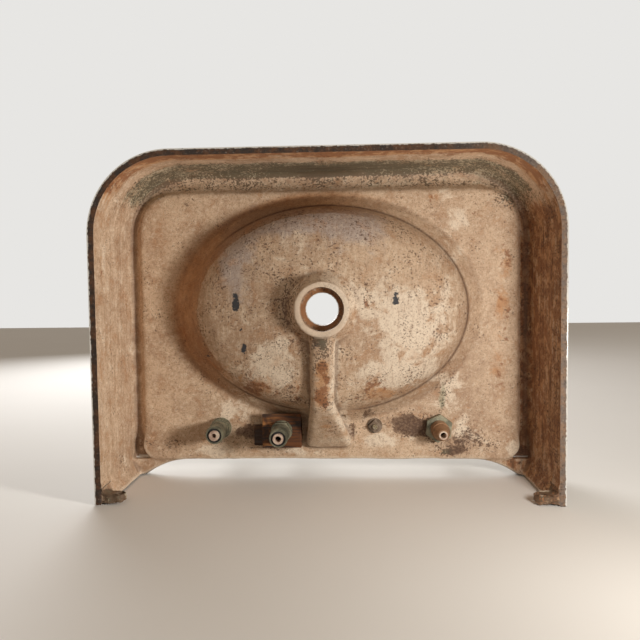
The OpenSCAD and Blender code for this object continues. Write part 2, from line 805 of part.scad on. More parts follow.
sink_casting();
shim_block();
chain_stay();
stay_washer();
stay_nut();
hot("tap_body");  // hot_tap_body
hot("bonnet");  // hot_bonnet
hot("packing_nut");  // hot_packing_nut
hot("packing_ring");  // hot_packing_ring
hot("spindle");  // hot_spindle
hot("handle");  // hot_handle
hot("handle_screw");  // hot_handle_screw
hot("button");  // hot_button
hot("jumper");  // hot_jumper
hot("valve_washer");  // hot_valve_washer
hot("gasket");  // hot_gasket
hot("washer");  // hot_washer
hot("lock_nut");  // hot_lock_nut
hot("coupling_nut");  // hot_coupling_nut
hot("tail");  // hot_tail
hot("tail_ring");  // hot_tail_ring
middle("tap_body");  // middle_tap_body
middle("bonnet");  // middle_bonnet
middle("packing_nut");  // middle_packing_nut
middle("packing_ring");  // middle_packing_ring
middle("spindle");  // middle_spindle
middle("handle");  // middle_handle
middle("handle_screw");  // middle_handle_screw
middle("button");  // middle_button
middle("jumper");  // middle_jumper
middle("valve_washer");  // middle_valve_washer
middle("gasket");  // middle_gasket
middle("washer");  // middle_washer
middle("lock_nut");  // middle_lock_nut
middle("coupling_nut");  // middle_coupling_nut
middle("tail");  // middle_tail
middle("tail_ring");  // middle_tail_ring
cold("tap_body");  // cold_tap_body
cold("bonnet");  // cold_bonnet
cold("packing_nut");  // cold_packing_nut
cold("packing_ring");  // cold_packing_ring
cold("spindle");  // cold_spindle
cold("handle");  // cold_handle
cold("handle_screw");  // cold_handle_screw
cold("button");  // cold_button
cold("jumper");  // cold_jumper
cold("valve_washer");  // cold_valve_washer
cold("gasket");  // cold_gasket
cold("washer");  // cold_washer
cold("lock_nut");  // cold_lock_nut
cold("coupling_nut");  // cold_coupling_nut
cold("tail");  // cold_tail
cold("tail_ring");  // cold_tail_ring
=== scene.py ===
import json
import math

import bpy
import numpy as np
from mathutils import Matrix, Vector


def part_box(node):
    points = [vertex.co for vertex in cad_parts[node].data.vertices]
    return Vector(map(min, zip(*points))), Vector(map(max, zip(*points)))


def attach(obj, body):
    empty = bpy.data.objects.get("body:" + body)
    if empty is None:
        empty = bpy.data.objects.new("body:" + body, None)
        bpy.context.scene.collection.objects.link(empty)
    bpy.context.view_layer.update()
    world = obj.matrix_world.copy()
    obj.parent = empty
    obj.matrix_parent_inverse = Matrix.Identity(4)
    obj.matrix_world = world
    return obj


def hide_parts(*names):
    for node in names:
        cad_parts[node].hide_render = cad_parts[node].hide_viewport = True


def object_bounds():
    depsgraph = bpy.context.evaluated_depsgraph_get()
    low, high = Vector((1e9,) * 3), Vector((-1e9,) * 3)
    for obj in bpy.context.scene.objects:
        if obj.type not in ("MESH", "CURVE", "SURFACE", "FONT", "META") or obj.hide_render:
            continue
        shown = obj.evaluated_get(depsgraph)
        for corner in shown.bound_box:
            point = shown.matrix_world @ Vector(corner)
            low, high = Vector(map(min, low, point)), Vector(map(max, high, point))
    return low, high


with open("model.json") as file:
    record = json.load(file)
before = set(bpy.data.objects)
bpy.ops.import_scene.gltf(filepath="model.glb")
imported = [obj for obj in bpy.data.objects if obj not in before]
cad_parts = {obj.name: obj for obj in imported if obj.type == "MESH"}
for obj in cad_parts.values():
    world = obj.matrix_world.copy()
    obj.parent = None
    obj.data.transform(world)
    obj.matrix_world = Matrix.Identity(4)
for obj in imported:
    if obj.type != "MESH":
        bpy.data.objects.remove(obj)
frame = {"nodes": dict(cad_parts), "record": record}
nodes = frame["nodes"]
cadLow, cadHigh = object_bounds()
print("frame loaded:", len(nodes), "nodes")


# Camera, fitted to the photograph: it looks up at the basin's underside, with +X to the right
camera = {
    "place": (0.02853, -0.04983, -0.78987),
    "yaw": -2.4959,
    "pitch": -2.8688,
    "roll": 0.6846,
    "lens": 34.99,
    "sensor": 36,
    "pixels": 640,
}


def cameraMatrix():
    turn = Matrix.Rotation(math.radians(camera["yaw"]), 3, "Y")
    turn = turn @ Matrix.Rotation(math.radians(camera["pitch"]), 3, "X")
    turn = turn @ Matrix.Rotation(math.radians(camera["roll"]), 3, "Z")
    turn = turn @ Matrix.Rotation(math.pi, 3, "X")  # a camera looks along its own -Z
    return Matrix.Translation(camera["place"]) @ turn.to_4x4()


def makeCamera():
    data = bpy.data.cameras.new("camera")
    data.lens = camera["lens"]
    data.sensor_width = camera["sensor"]
    data.clip_start = 0.01
    data.clip_end = 50
    cam = bpy.data.objects.new("camera", data)
    bpy.context.scene.collection.objects.link(cam)
    cam.matrix_world = cameraMatrix()
    bpy.context.scene.camera = cam


# Node building
def addNode(tree, kind, inputs=None, **settings):
    node = tree.nodes.new(kind)
    for name, value in settings.items():
        setattr(node, name, value)
    for name, value in (inputs or {}).items():
        if isinstance(value, bpy.types.NodeSocket):
            tree.links.new(value, node.inputs[name])
        else:
            node.inputs[name].default_value = value
    return node


def mixColor(tree, factor, a, b, blend="MIX"):
    a, b = [value if isinstance(value, bpy.types.NodeSocket) else (*value[:3], 1) for value in (a, b)]
    node = addNode(tree, "ShaderNodeMix", {0: factor, 6: a, 7: b}, data_type="RGBA", blend_type=blend)
    return node.outputs[2]


def mixValue(tree, factor, a, b):
    return addNode(tree, "ShaderNodeMix", {0: factor, 2: a, 3: b}, data_type="FLOAT").outputs[0]


def calc(tree, operation, a, b=0.0, clamp=False):
    return addNode(tree, "ShaderNodeMath", {0: a, 1: b}, operation=operation, use_clamp=clamp).outputs[0]


def times(tree, *values):
    result = values[0]
    for value in values[1:]:
        result = calc(tree, "MULTIPLY", result, value)
    return result


def spread(tree, value, low, high, toLow=0.0, toHigh=1.0):
    node = addNode(tree, "ShaderNodeMapRange", {0: value, 1: low, 2: high, 3: toLow, 4: toHigh},
                   interpolation_type="SMOOTHSTEP")
    return node.outputs[0]


def noise(tree, vector, scale, detail=4.0, roughness=0.55, distortion=0.0):
    node = addNode(tree, "ShaderNodeTexNoise", {"Vector": vector, "Scale": scale, "Detail": detail,
                                                "Roughness": roughness, "Distortion": distortion})
    return node.outputs["Fac"]


def stretched(tree, vector, scale, turn=(0, 0, 0)):
    node = addNode(tree, "ShaderNodeMapping", {"Vector": vector, "Rotation": turn, "Scale": scale})
    return node.outputs["Vector"]


def objectPlace(tree):
    return addNode(tree, "ShaderNodeTexCoord").outputs["Object"]


def attribute(tree, name):
    return addNode(tree, "ShaderNodeAttribute", attribute_name=name).outputs["Fac"]


def startMaterial(name):
    material = bpy.data.materials.new(name)
    material.use_nodes = True
    tree = material.node_tree
    return material, tree, tree.nodes["Principled BSDF"]


def useOn(piece, material):
    piece.data.materials.clear()
    piece.data.materials.append(material)
    for polygon in piece.data.polygons:
        polygon.material_index = 0


def startGroup(name, inputs, outputs):
    group = bpy.data.node_groups.new(name, "ShaderNodeTree")
    for label, kind, value in inputs:
        socket = group.interface.new_socket(label, in_out="INPUT", socket_type=kind)
        if value is not None:
            socket.default_value = value
    for label, kind in outputs:
        group.interface.new_socket(label, in_out="OUTPUT", socket_type=kind)
    return group, group.nodes.new("NodeGroupInput").outputs, group.nodes.new("NodeGroupOutput").inputs


def placeGroup(tree, group, inputs):
    node = tree.nodes.new("ShaderNodeGroup")
    node.node_tree = group
    for name, value in inputs.items():
        if isinstance(value, bpy.types.NodeSocket):
            tree.links.new(value, node.inputs[name])
        else:
            node.inputs[name].default_value = value
    return node.outputs


# Specks of dirt and rust: sparse dots whose number follows Amount
def makeSpeckGroup():
    group, given, made = startGroup("specks", [("Vector", "NodeSocketVector", None),
                                               ("Scale", "NodeSocketFloat", 300.0),
                                               ("Amount", "NodeSocketFloat", 0.5)],
                                    [("Mask", "NodeSocketFloat"), ("Height", "NodeSocketFloat")])
    fine = noise(group, given["Vector"], given["Scale"], 3.0, 0.6)
    patch = noise(group, given["Vector"], calc(group, "MULTIPLY", given["Scale"], 0.09), 4.0, 0.6)
    level = calc(group, "SUBTRACT", 0.83, times(group, given["Amount"], 0.22))
    level = calc(group, "SUBTRACT", level, times(group, calc(group, "SUBTRACT", patch, 0.45), 0.5))
    mask = addNode(group, "ShaderNodeMapRange", {0: fine, 1: level, 2: calc(group, "ADD", level, 0.07)})
    group.links.new(mask.outputs[0], made["Mask"])
    group.links.new(calc(group, "SUBTRACT", fine, times(group, mask.outputs[0], 0.35)), made["Height"])
    return group


# A stain mask, also used for some painted light and shade: where Noise and the painted Amount together pass
# Level
def makeStainGroup():
    group, given, made = startGroup("stain", [("Noise", "NodeSocketFloat", 0.5),
                                               ("Amount", "NodeSocketFloat", 0.0),
                                              ("Level", "NodeSocketFloat", 0.8),
                                               ("Reach", "NodeSocketFloat", 0.45),
                                              ("Softness", "NodeSocketFloat", 0.1)],
                                    [("Mask", "NodeSocketFloat")])
    level = calc(group, "SUBTRACT", given["Level"], times(group, given["Amount"], given["Reach"]))
    mask = addNode(group, "ShaderNodeMapRange", {0: given["Noise"], 1: level,
                                                 2: calc(group, "ADD", level, given["Softness"])},
                   interpolation_type="SMOOTHSTEP")
    group.links.new(mask.outputs[0], made["Mask"])
    return group


def stain(tree, value, amount, level=0.8, reach=0.45, softness=0.1):
    return placeGroup(tree, stainGroup, {"Noise": value, "Amount": amount, "Level": level, "Reach": reach,
                                         "Softness": softness})["Mask"]


# Piece handling
def onlySelect(piece):
    bpy.ops.object.select_all(action="DESELECT")
    piece.hide_set(False)
    piece.select_set(True)
    bpy.context.view_layer.objects.active = piece


def copyOfNode(nodeName, newName):
    onlySelect(nodes[nodeName])
    bpy.ops.object.duplicate()
    piece = bpy.context.object
    piece.name = newName
    piece.data.name = newName
    piece.parent = None
    for key in list(piece.keys()):
        del piece[key]
    bpy.ops.object.mode_set(mode="EDIT")
    bpy.ops.mesh.select_all(action="SELECT")
    bpy.ops.mesh.remove_doubles(threshold=0.00001)
    bpy.ops.mesh.customdata_custom_splitnormals_clear()
    bpy.ops.object.mode_set(mode="OBJECT")
    return piece


def finishWith(piece, kind, **settings):
    onlySelect(piece)
    modifier = piece.modifiers.new(kind.lower(), kind)
    for name, value in settings.items():
        setattr(modifier, name, value)
    bpy.ops.object.modifier_apply(modifier=modifier.name)


def places(piece):
    flat = np.zeros(len(piece.data.vertices) * 3, np.float32)
    piece.data.vertices.foreach_get("co", flat)
    return flat.reshape(-1, 3).astype(float)


def setGroup(piece, name, weights):
    group = piece.vertex_groups.new(name=name)
    steps = np.round(np.clip(weights, 0, 1) * 20).astype(int)
    for step in range(1, 21):
        members = np.nonzero(steps == step)[0].tolist()
        if members:
            group.add(members, step / 20, "REPLACE")


def setAttribute(piece, name, values):
    layer = piece.data.attributes.new(name, "FLOAT", "POINT")
    layer.data.foreach_set("value", values.astype(np.float32))


def lumps(name, size):
    texture = bpy.data.textures.new(name, "CLOUDS")
    texture.noise_scale = size
    texture.noise_depth = 3
    return texture


def ramp(values, low, high):
    t = np.clip((values - low) / (high - low), 0, 1)
    return t * t * (3 - 2 * t)


# The casting. Its own sizes follow the frame's
castLow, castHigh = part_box("sink_casting")
casting = {
    "halfWidth": castHigh.x,
    "front": castLow.y,
    "wall": castHigh.y,
    "cornerRadius": 0.108,
    "apronThick": 0.009,
    "deckMiddle": 0.128,
    "gutterMiddle": 0.144,
    "haunchMiddle": 0.1375,
    "haunchFront": 0.2025,
    "stepWidth": 0.006,
    "plateauHalf": 0.282,
    "plateauFront": -0.197,
    "plateauCorner": 0.055,
    "rearCorner": 0.023,
    "plateauRear": 0.205,
    "bowlY": -0.020,
    "bowlRatio": 0.74,
    "bowlEdge": 0.200,
    "floorRadius": 0.4956,
    "floorCentre": 0.5356,
    "kneeRadius": 0.076,
    "kneeX": 0.128,
    "kneeZ": 0.136,
    "drain": (-0.0045, -0.023),
    "mouthRadius": 0.0283,
    "seatReach": 0.036,
    "seatMiddle": 0.0385,
    "octree": 8,
    "octreeScale": 0.95,
    "softness": 12,
    "filletSoftness": 160,
    "triangles": 190000,
}


def outlineDistance(p):
    radius = casting["cornerRadius"]
    qx = np.abs(p[:, 0]) - (casting["halfWidth"] - radius)
    qy = -p[:, 1] + casting["front"] + radius
    outside = np.hypot(np.maximum(qx, 0), np.maximum(qy, 0))
    return radius - outside - np.minimum(np.maximum(qx, qy), 0)


# Length along the outline, from the wall on the left round the front to the wall on the right
def outlineLength(p):
    radius = casting["cornerRadius"]
    sideLength = casting["wall"] - casting["front"] - radius
    straight = casting["halfWidth"] - radius
    x, y = np.abs(p[:, 0]), p[:, 1]
    cornerStart = casting["front"] + radius
    turn = np.arctan2(np.maximum(cornerStart - y, 0), np.maximum(x - straight, 1e-6))
    length = np.where(y > cornerStart, casting["wall"] - y, sideLength + radius * turn)
    length = length + np.where(y < cornerStart, np.maximum(straight - x, 0), 0)
    whole = 2 * (sideLength + radius * math.pi / 2 + straight)
    return np.where(p[:, 0] < 0, length, whole - length)


# Distance in from the plateau's edge, which is negative in the gutters
def plateauDistance(p):
    radius = np.where(p[:, 1] < 0, casting["plateauCorner"], casting["rearCorner"])
    middle = (casting["plateauRear"] + casting["plateauFront"]) / 2
    half = (casting["plateauRear"] - casting["plateauFront"]) / 2
    qx = np.abs(p[:, 0]) - (casting["plateauHalf"] - radius)
    qy = np.abs(p[:, 1] - middle) - (half - radius)
    return radius - np.hypot(np.maximum(qx, 0), np.maximum(qy, 0)) - np.minimum(np.maximum(qx, qy), 0)


def bowlRadius(p):
    return np.hypot(p[:, 0], (p[:, 1] - casting["bowlY"]) / casting["bowlRatio"])


def drainDistance(p):
    return np.hypot(p[:, 0] - casting["drain"][0], p[:, 1] - casting["drain"][1])


# Height of the casting's middle surface over each place: above it is enamel, below it old paint
def middleHeight(p):
    plateau = plateauDistance(p)
    height = np.where(plateau > casting["stepWidth"], casting["deckMiddle"], casting["gutterMiddle"])
    height = np.where(p[:, 1] > casting["haunchFront"], casting["haunchMiddle"], height)
    r = bowlRadius(p)
    floor = casting["floorCentre"] - np.sqrt(np.maximum(casting["floorRadius"] ** 2 - r ** 2, 0))
    knee = casting["kneeZ"] - np.sqrt(np.maximum(casting["kneeRadius"] ** 2 - (r - casting["kneeX"]) ** 2, 0))
    bowl = np.where(r < 0.150, floor, knee)
    height = np.where(r < casting["kneeX"] + casting["kneeRadius"], np.minimum(height, bowl), height)
    return np.where(drainDistance(p) < casting["seatReach"], casting["seatMiddle"], height)


def isUnder(p):
    return (p[:, 2] < middleHeight(p)) & (outlineDistance(p) > casting["apronThick"] * 0.5)


# Where points appear in the photo, in its pixels
def inPhoto(p):
    toCamera = np.array(cameraMatrix().inverted())
    seen = p @ toCamera[:3, :3].T + toCamera[:3, 3]
    focal = camera["lens"] / camera["sensor"] * camera["pixels"]
    middle = camera["pixels"] / 2
    return middle - focal * seen[:, 0] / seen[:, 2], middle + focal * seen[:, 1] / seen[:, 2]


def spots(across, down, groups):
    total = np.zeros(len(across))
    for listed in groups.values():
        for x, y, wide, tall, strength in listed:
            total += strength * np.exp(-((across - x) / wide) ** 2 - ((down - y) / tall) ** 2)
    return np.clip(total, 0, 1)


def makeCasting():
    piece = copyOfNode("sink_casting", "basin_casting")
    finishWith(piece, "REMESH", mode="SHARP", octree_depth=casting["octree"], scale=casting["octreeScale"],
               use_remove_disconnected=False)
    p = places(piece)
    d = outlineDistance(p)
    nearRim = 1 - ramp(p[:, 2], 0.003, 0.012)
    fromDrain = drainDistance(p)
    nearDrain = (fromDrain < 0.045) & (p[:, 2] < 0.05)
    soft = np.where(nearDrain, 0.25 + 0.65 * ramp(fromDrain, 0.0285, 0.034), 1.0)
    soft = np.minimum(soft, 1 - nearRim)
    under = isUnder(p)
    setGroup(piece, "soft", soft)
    fillet = under * ramp(p[:, 2], 0.070, 0.105) * (1 - ramp(plateauDistance(p), -0.001, 0.006))
    fillet = fillet * (1 - ramp(p[:, 1], 0.150, 0.185)) * ramp(d, 0.006, 0.010)
    setGroup(piece, "fillet", fillet)
    edge = under * (1 - ramp(np.abs(plateauDistance(p)), 0.005, 0.009)) * (p[:, 2] > 0.115) * (p[:, 1] < 0.17)
    setGroup(piece, "plateauEdge", edge)
    finishWith(piece, "SMOOTH", factor=0.5, iterations=casting["filletSoftness"], vertex_group="fillet")
    finishWith(piece, "SMOOTH", factor=0.5, iterations=24, vertex_group="plateauEdge")
    finishWith(piece, "SMOOTH", factor=0.5, iterations=casting["softness"], vertex_group="soft")
    p = places(piece)
    under = isUnder(p)
    setGroup(piece, "under", np.where(under, ramp(p[:, 2], 0.0, 0.004), 0.0))
    finishWith(piece, "DISPLACE", texture=lumps("broadLumps", 0.05), texture_coords="LOCAL", strength=0.0022,
               mid_level=1.0, vertex_group="under")
    finishWith(piece, "DISPLACE", texture=lumps("fineLumps", 0.012), texture_coords="LOCAL", strength=0.0008,
               mid_level=1.0, vertex_group="under")
    ears = (p[:, 2] < 0.036) & (p[:, 1] > 0.210) & (outlineDistance(p) > 0.0095)
    setGroup(piece, "ears", np.where(ears, 1.0, 0.0))
    finishWith(piece, "DISPLACE", texture=lumps("earLumps", 0.010), texture_coords="LOCAL", strength=0.0055,
               mid_level=1.0, vertex_group="ears")
    finishWith(piece, "DISPLACE", texture=lumps("rimNicks", 0.006), texture_coords="LOCAL", strength=0.0009,
               mid_level=1.0, vertex_group=rimGroup(piece))
    count = sum(len(f.vertices) - 2 for f in piece.data.polygons)
    if count > casting["triangles"]:
        finishWith(piece, "DECIMATE", ratio=casting["triangles"] / count)
    bpy.ops.object.shade_smooth_by_angle(angle=math.radians(55))
    piece.vertex_groups.clear()
    paintCasting(piece)
    useOn(piece, castingFinish())
    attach(piece, "root")
    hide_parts("sink_casting")
    print("casting made:", len(piece.data.polygons), "faces")
    return piece


# The bare rim's inner part, which is a little pitted
def rimGroup(piece):
    p = places(piece)
    d = outlineDistance(p)
    weight = (1 - ramp(p[:, 2], 0.001, 0.003)) * ramp(d, 0.001, 0.002) * (p[:, 1] < 0.225)
    setGroup(piece, "rim", weight)
    return "rim"


# Stains on the underside, and some painted light and shade, as soft spots picked in the photo's 640 x 640
# pixels:
# x, y, half width, half height, strength
stainsAndPaintedLight = {
    "rust": {
        # in this group, the spot at 296, 385 lies in the channel's shadow: partly rust, partly painted shadow
        "bowl": [(238, 377, 30, 22, 0.55), (262, 390, 20, 12, 0.6), (212, 350, 10, 18, 0.4),
                 (297, 336, 11, 16, 0.7), (296, 385, 12, 20, 0.55), (380, 392, 30, 14, 0.6),
                 (366, 372, 14, 18, 0.35), (366, 303, 3, 8, 0.8)],
        "channel": [(321, 368, 5, 9, 1), (320, 398, 7, 14, 0.8), (326, 384, 5, 20, 0.6),
                    (330, 432, 12, 8, 0.5)],
        "deckRight": [(432, 196, 9, 6, 0.8), (487, 208, 24, 18, 0.4), (503, 256, 11, 26, 0.55),
                      (503, 306, 11, 26, 0.6), (499, 366, 14, 30, 0.5), (438, 400, 8, 6, 0.3),
                      (480, 425, 18, 10, 0.3)],
    },
    "brown": {
        # in this group, the spot at 290, 395 is partly dirt, partly the channel's painted shadow
        "boss": [(286, 306, 8, 19, 0.7), (298, 330, 8, 12, 0.6), (316, 340, 6, 12, 0.8),
                 (290, 395, 9, 14, 0.5)],
        # the spot at 248, 432 is partly dirt, partly the painted shadow of the middle tap and the shim
        "hotTap": [(248, 432, 16, 10, 1.1), (270, 447, 26, 5, 0.6)],
        "chainStay": [(369, 412, 9, 6, 0.8), (364, 424, 6, 8, 0.6), (385, 420, 6, 6, 0.5),
                      (353, 430, 4, 16, 0.8)],
        # the spots at 402, 416 and 430, left of the cold tap, are partly dirt, partly the tap's painted
        # shadow
        "coldTap": [(416, 427, 14, 11, 1.1), (402, 424, 15, 11, 0.9), (430, 433, 6, 5, 0.8),
                    (455, 452, 10, 4, 0.7), (460, 440, 31, 18, 0.62)],
        "deckLeft": [(205, 357, 6, 6, 0.5), (152, 276, 9, 11, 0.3), (119, 458, 5, 12, 0.6)],
    },
    "pale": {
        # the spot at 235, 411 is a painted patch of light on the deck, between shadows
        "deckRear": [(235, 411, 17, 14, 1), (215, 450, 20, 8, 0.8), (300, 452, 24, 6, 0.8),
                     (380, 440, 30, 9, 0.8), (465, 430, 22, 20, 0.6), (512, 445, 7, 12, 1)],
        "boss": [(300, 250, 32, 24, 0.5), (321, 285, 22, 12, 0.9), (350, 300, 20, 30, 0.3)],
        # these are partly pale paint, partly a painted highlight along the channel's lit right face
        "channel": [(336, 372, 3, 40, 1), (344, 420, 6, 18, 1), (325, 411, 9, 32, 0.5)],
        # in this group and the next, spots on the bowl's right and lower left are partly pale paint, partly
        # painted light where the bowl faces the lamp
        "bowlRight": [(395, 330, 38, 38, 0.5), (378, 303, 33, 33, 0.5), (418, 332, 21, 43, 0.8),
                      (385, 376, 36, 20, 0.9), (445, 300, 14, 60, 0.5)],
        "bowlLeft": [(240, 330, 22, 30, 0.35), (262, 375, 32, 18, 0.8), (271, 356, 18, 22, 0.7),
                     (285, 360, 10, 26, 0.6)],
        "deckRight": [(450, 391, 16, 20, 0.6), (452, 215, 28, 40, 0.45)],
    },
    "mauve": {
        "bowlTop": [(232, 262, 20, 36, 1), (262, 225, 32, 18, 0.8), (305, 218, 40, 14, 0.9),
                    (352, 222, 36, 16, 0.8), (250, 300, 24, 24, 0.4), (370, 240, 24, 18, 0.4),
                    (325, 251, 80, 33, 0.35)],
        "bowlLeft": [(200, 330, 8, 40, 0.3)],
    },
    "green": {
        "deckRight": [(511, 194, 12, 16, 0.8)],
        "boss": [(322, 342, 8, 12, 0.8)],
        # the thin spot at 442, 402 is partly greenish grime, partly the painted shade of a crease above the
        # cold tap
        "coldTap": [(445, 390, 10, 14, 0.5), (445, 452, 6, 3, 0.9), (442, 402, 3, 10, 0.9)],
    },
    # chips down to the iron
    "bare": {
        "bowlLeft": [(236, 302, 6, 17, 1.1), (244, 348, 4.5, 9, 1.1), (241, 330, 3, 3.5, 0.9),
                     (237, 357, 2.5, 2, 0.6), (236, 238, 2.5, 2.5, 0.6), (208, 356, 6, 3, 0.8)],
        "bowlRight": [(396, 299, 5, 11.5, 1.1), (440, 287, 2.2, 5, 0.8), (365, 303, 2, 8, 0.7),
                      (430, 277, 2, 3, 0.5)],
        "boss": [(318, 345, 7, 9, 0.7)],
    },
}


# Painted shadow of the bowl: a browner band round its upper left, as angles from the right, in radians and
# cosines
shade = {
    "middle": 2.6,
    "end": -0.05,
    "full": 0.55,
    "color": (0.70, 0.50, 0.34),
}


def paintCasting(piece):
    p = places(piece)
    x, y, z = p.T
    d = outlineDistance(p)
    under = isUnder(p)
    plateau = plateauDistance(p)
    gutter = 1 - ramp(plateau, -0.002, 0.002)
    wall = 1 - ramp(d, 0.013, 0.018)
    front = 1 - ramp(y, -0.19, -0.15)
    left = 1 - ramp(x, -0.27, -0.24)
    right = ramp(x, 0.24, 0.27)
    across, down = inPhoto(p)
    spotted = (z < 0.137) * (1 - 0.7 * wall)
    amounts = {name: spots(across, down, groups) * spotted for name, groups in stainsAndPaintedLight.items()}
    amounts["green"] = np.maximum(amounts["green"], front * wall * ramp(z, 0.050, 0.075) * 0.85)
    amounts["green"] = np.maximum(amounts["green"], front * gutter * (1 - wall) * 0.50)
    # the right gutter and wall, which face away from the lamp, turn browner: partly dirt, partly painted
    # shade
    amounts["brown"] = np.maximum(amounts["brown"], right * np.maximum(gutter, wall) * (1 - front) * 0.50)
    frontMiddle = front * wall * ramp(z, 0.070, 0.100) * np.exp(-(x / 0.12) ** 2)
    amounts["brown"] = np.maximum(amounts["brown"], frontMiddle * 0.7)
    amounts["rust"] = np.maximum(amounts["rust"], wall * (1 - ramp(z, 0.02, 0.06)) * (0.25 + 0.60 * front))
    # and rustier: partly rust, partly painted shade
    amounts["rust"] = np.maximum(amounts["rust"], right * np.maximum(gutter, wall) * (1 - front) * 0.75)
    # the left gutter and upper wall, which face the lamp, turn paler: partly pale paint, partly painted light
    leftSide = left * np.maximum(gutter, wall * ramp(z, 0.08, 0.11))
    amounts["pale"] = np.maximum(amounts["pale"], leftSide * 0.25)
    ears = (z < 0.034) & (y > 0.208) & (d > 0.0092)
    amounts["green"] = np.maximum(amounts["green"], ears * 0.75)
    amounts["brown"] = np.maximum(amounts["brown"], ears * 0.45)
    for name, values in amounts.items():
        setAttribute(piece, name, values)
    fromDrain = drainDistance(p)
    mouth = casting["mouthRadius"]
    setAttribute(piece, "bore", ((fromDrain < mouth) & (z < casting["seatMiddle"] + 0.001)).astype(float))
    boss = ramp(fromDrain, mouth, mouth + 0.0004) * (1 - ramp(fromDrain, 0.040, 0.044)) * (z < 0.020)
    setAttribute(piece, "boss", boss)
    setAttribute(piece, "under", under.astype(float))
    setAttribute(piece, "edge", edgeShape(piece))
    setAttribute(piece, "along", outlineLength(p))
    setAttribute(piece, "inward", d)
    setAttribute(piece, "streaky", np.maximum(wall, gutter) * under)
    r = bowlRadius(p)
    # painted shadow of the bowl: a band outside it, on the side away from the lamp
    turn = np.arctan2(-(y - casting["bowlY"]) / casting["bowlRatio"], x)
    side = ramp(np.cos(turn - shade["middle"]), shade["end"], shade["full"])
    band = ramp(r, 0.150, 0.195) * (1 - ramp(r, 0.224, 0.240))
    setAttribute(piece, "shade", side * band * under * (z > 0.08))
    # painted shade: a thin dark line along the bowl's crease
    crease = np.exp(-((r - casting["bowlEdge"] - 0.001) / 0.0021) ** 2) * (z > 0.095) * ramp(x, -0.19, -0.12)
    setAttribute(piece, "crease", crease * (y < 0.125))
    inBowl = 1 - ramp(r, 0.190, 0.205)
    setAttribute(piece, "bowl", inBowl * under)


# How sharply the surface bends at each point: above 0.5 outwards, below 0.5 inwards
def edgeShape(piece):
    mesh = piece.data
    count = len(mesh.vertices)
    p = places(piece)
    flat = np.zeros(count * 3, np.float32)
    mesh.vertices.foreach_get("normal", flat)
    normals = flat.reshape(-1, 3).astype(float)
    pairs = np.zeros(len(mesh.edges) * 2, np.int64)
    mesh.edges.foreach_get("vertices", pairs)
    a, b = pairs[0::2], pairs[1::2]
    shape = np.zeros(count)
    number = np.zeros(count)
    for one, other in ((a, b), (b, a)):
        step = p[other] - p[one]
        length = np.linalg.norm(step, axis=1) + 1e-9
        bend = -(step * normals[one]).sum(1) / length ** 2
        np.add.at(shape, one, bend)
        np.add.at(number, one, 1)
    shape = shape / np.maximum(number, 1)
    for _ in range(4):
        total = shape.copy()
        weight = np.ones(count)
        np.add.at(total, a, shape[b])
        np.add.at(total, b, shape[a])
        np.add.at(weight, a, 1)
        np.add.at(weight, b, 1)
        shape = total / weight
    return np.clip(0.5 + shape * 0.004, 0, 1)


# Old paint on the underside; the colours are linear
paint = {
    "tan": (0.46, 0.31, 0.205),
    "cream": (0.68, 0.50, 0.345),
    "white": (0.84, 0.71, 0.56),
    "mauve": (0.50, 0.425, 0.39),
    "green": (0.40, 0.375, 0.26),
    "greenSpeck": (0.085, 0.075, 0.045),
    "orange": (0.54, 0.275, 0.12),
    "rust": (0.27, 0.105, 0.04),
    "brown": (0.125, 0.062, 0.032),
    "chip": (0.045, 0.045, 0.05),
}


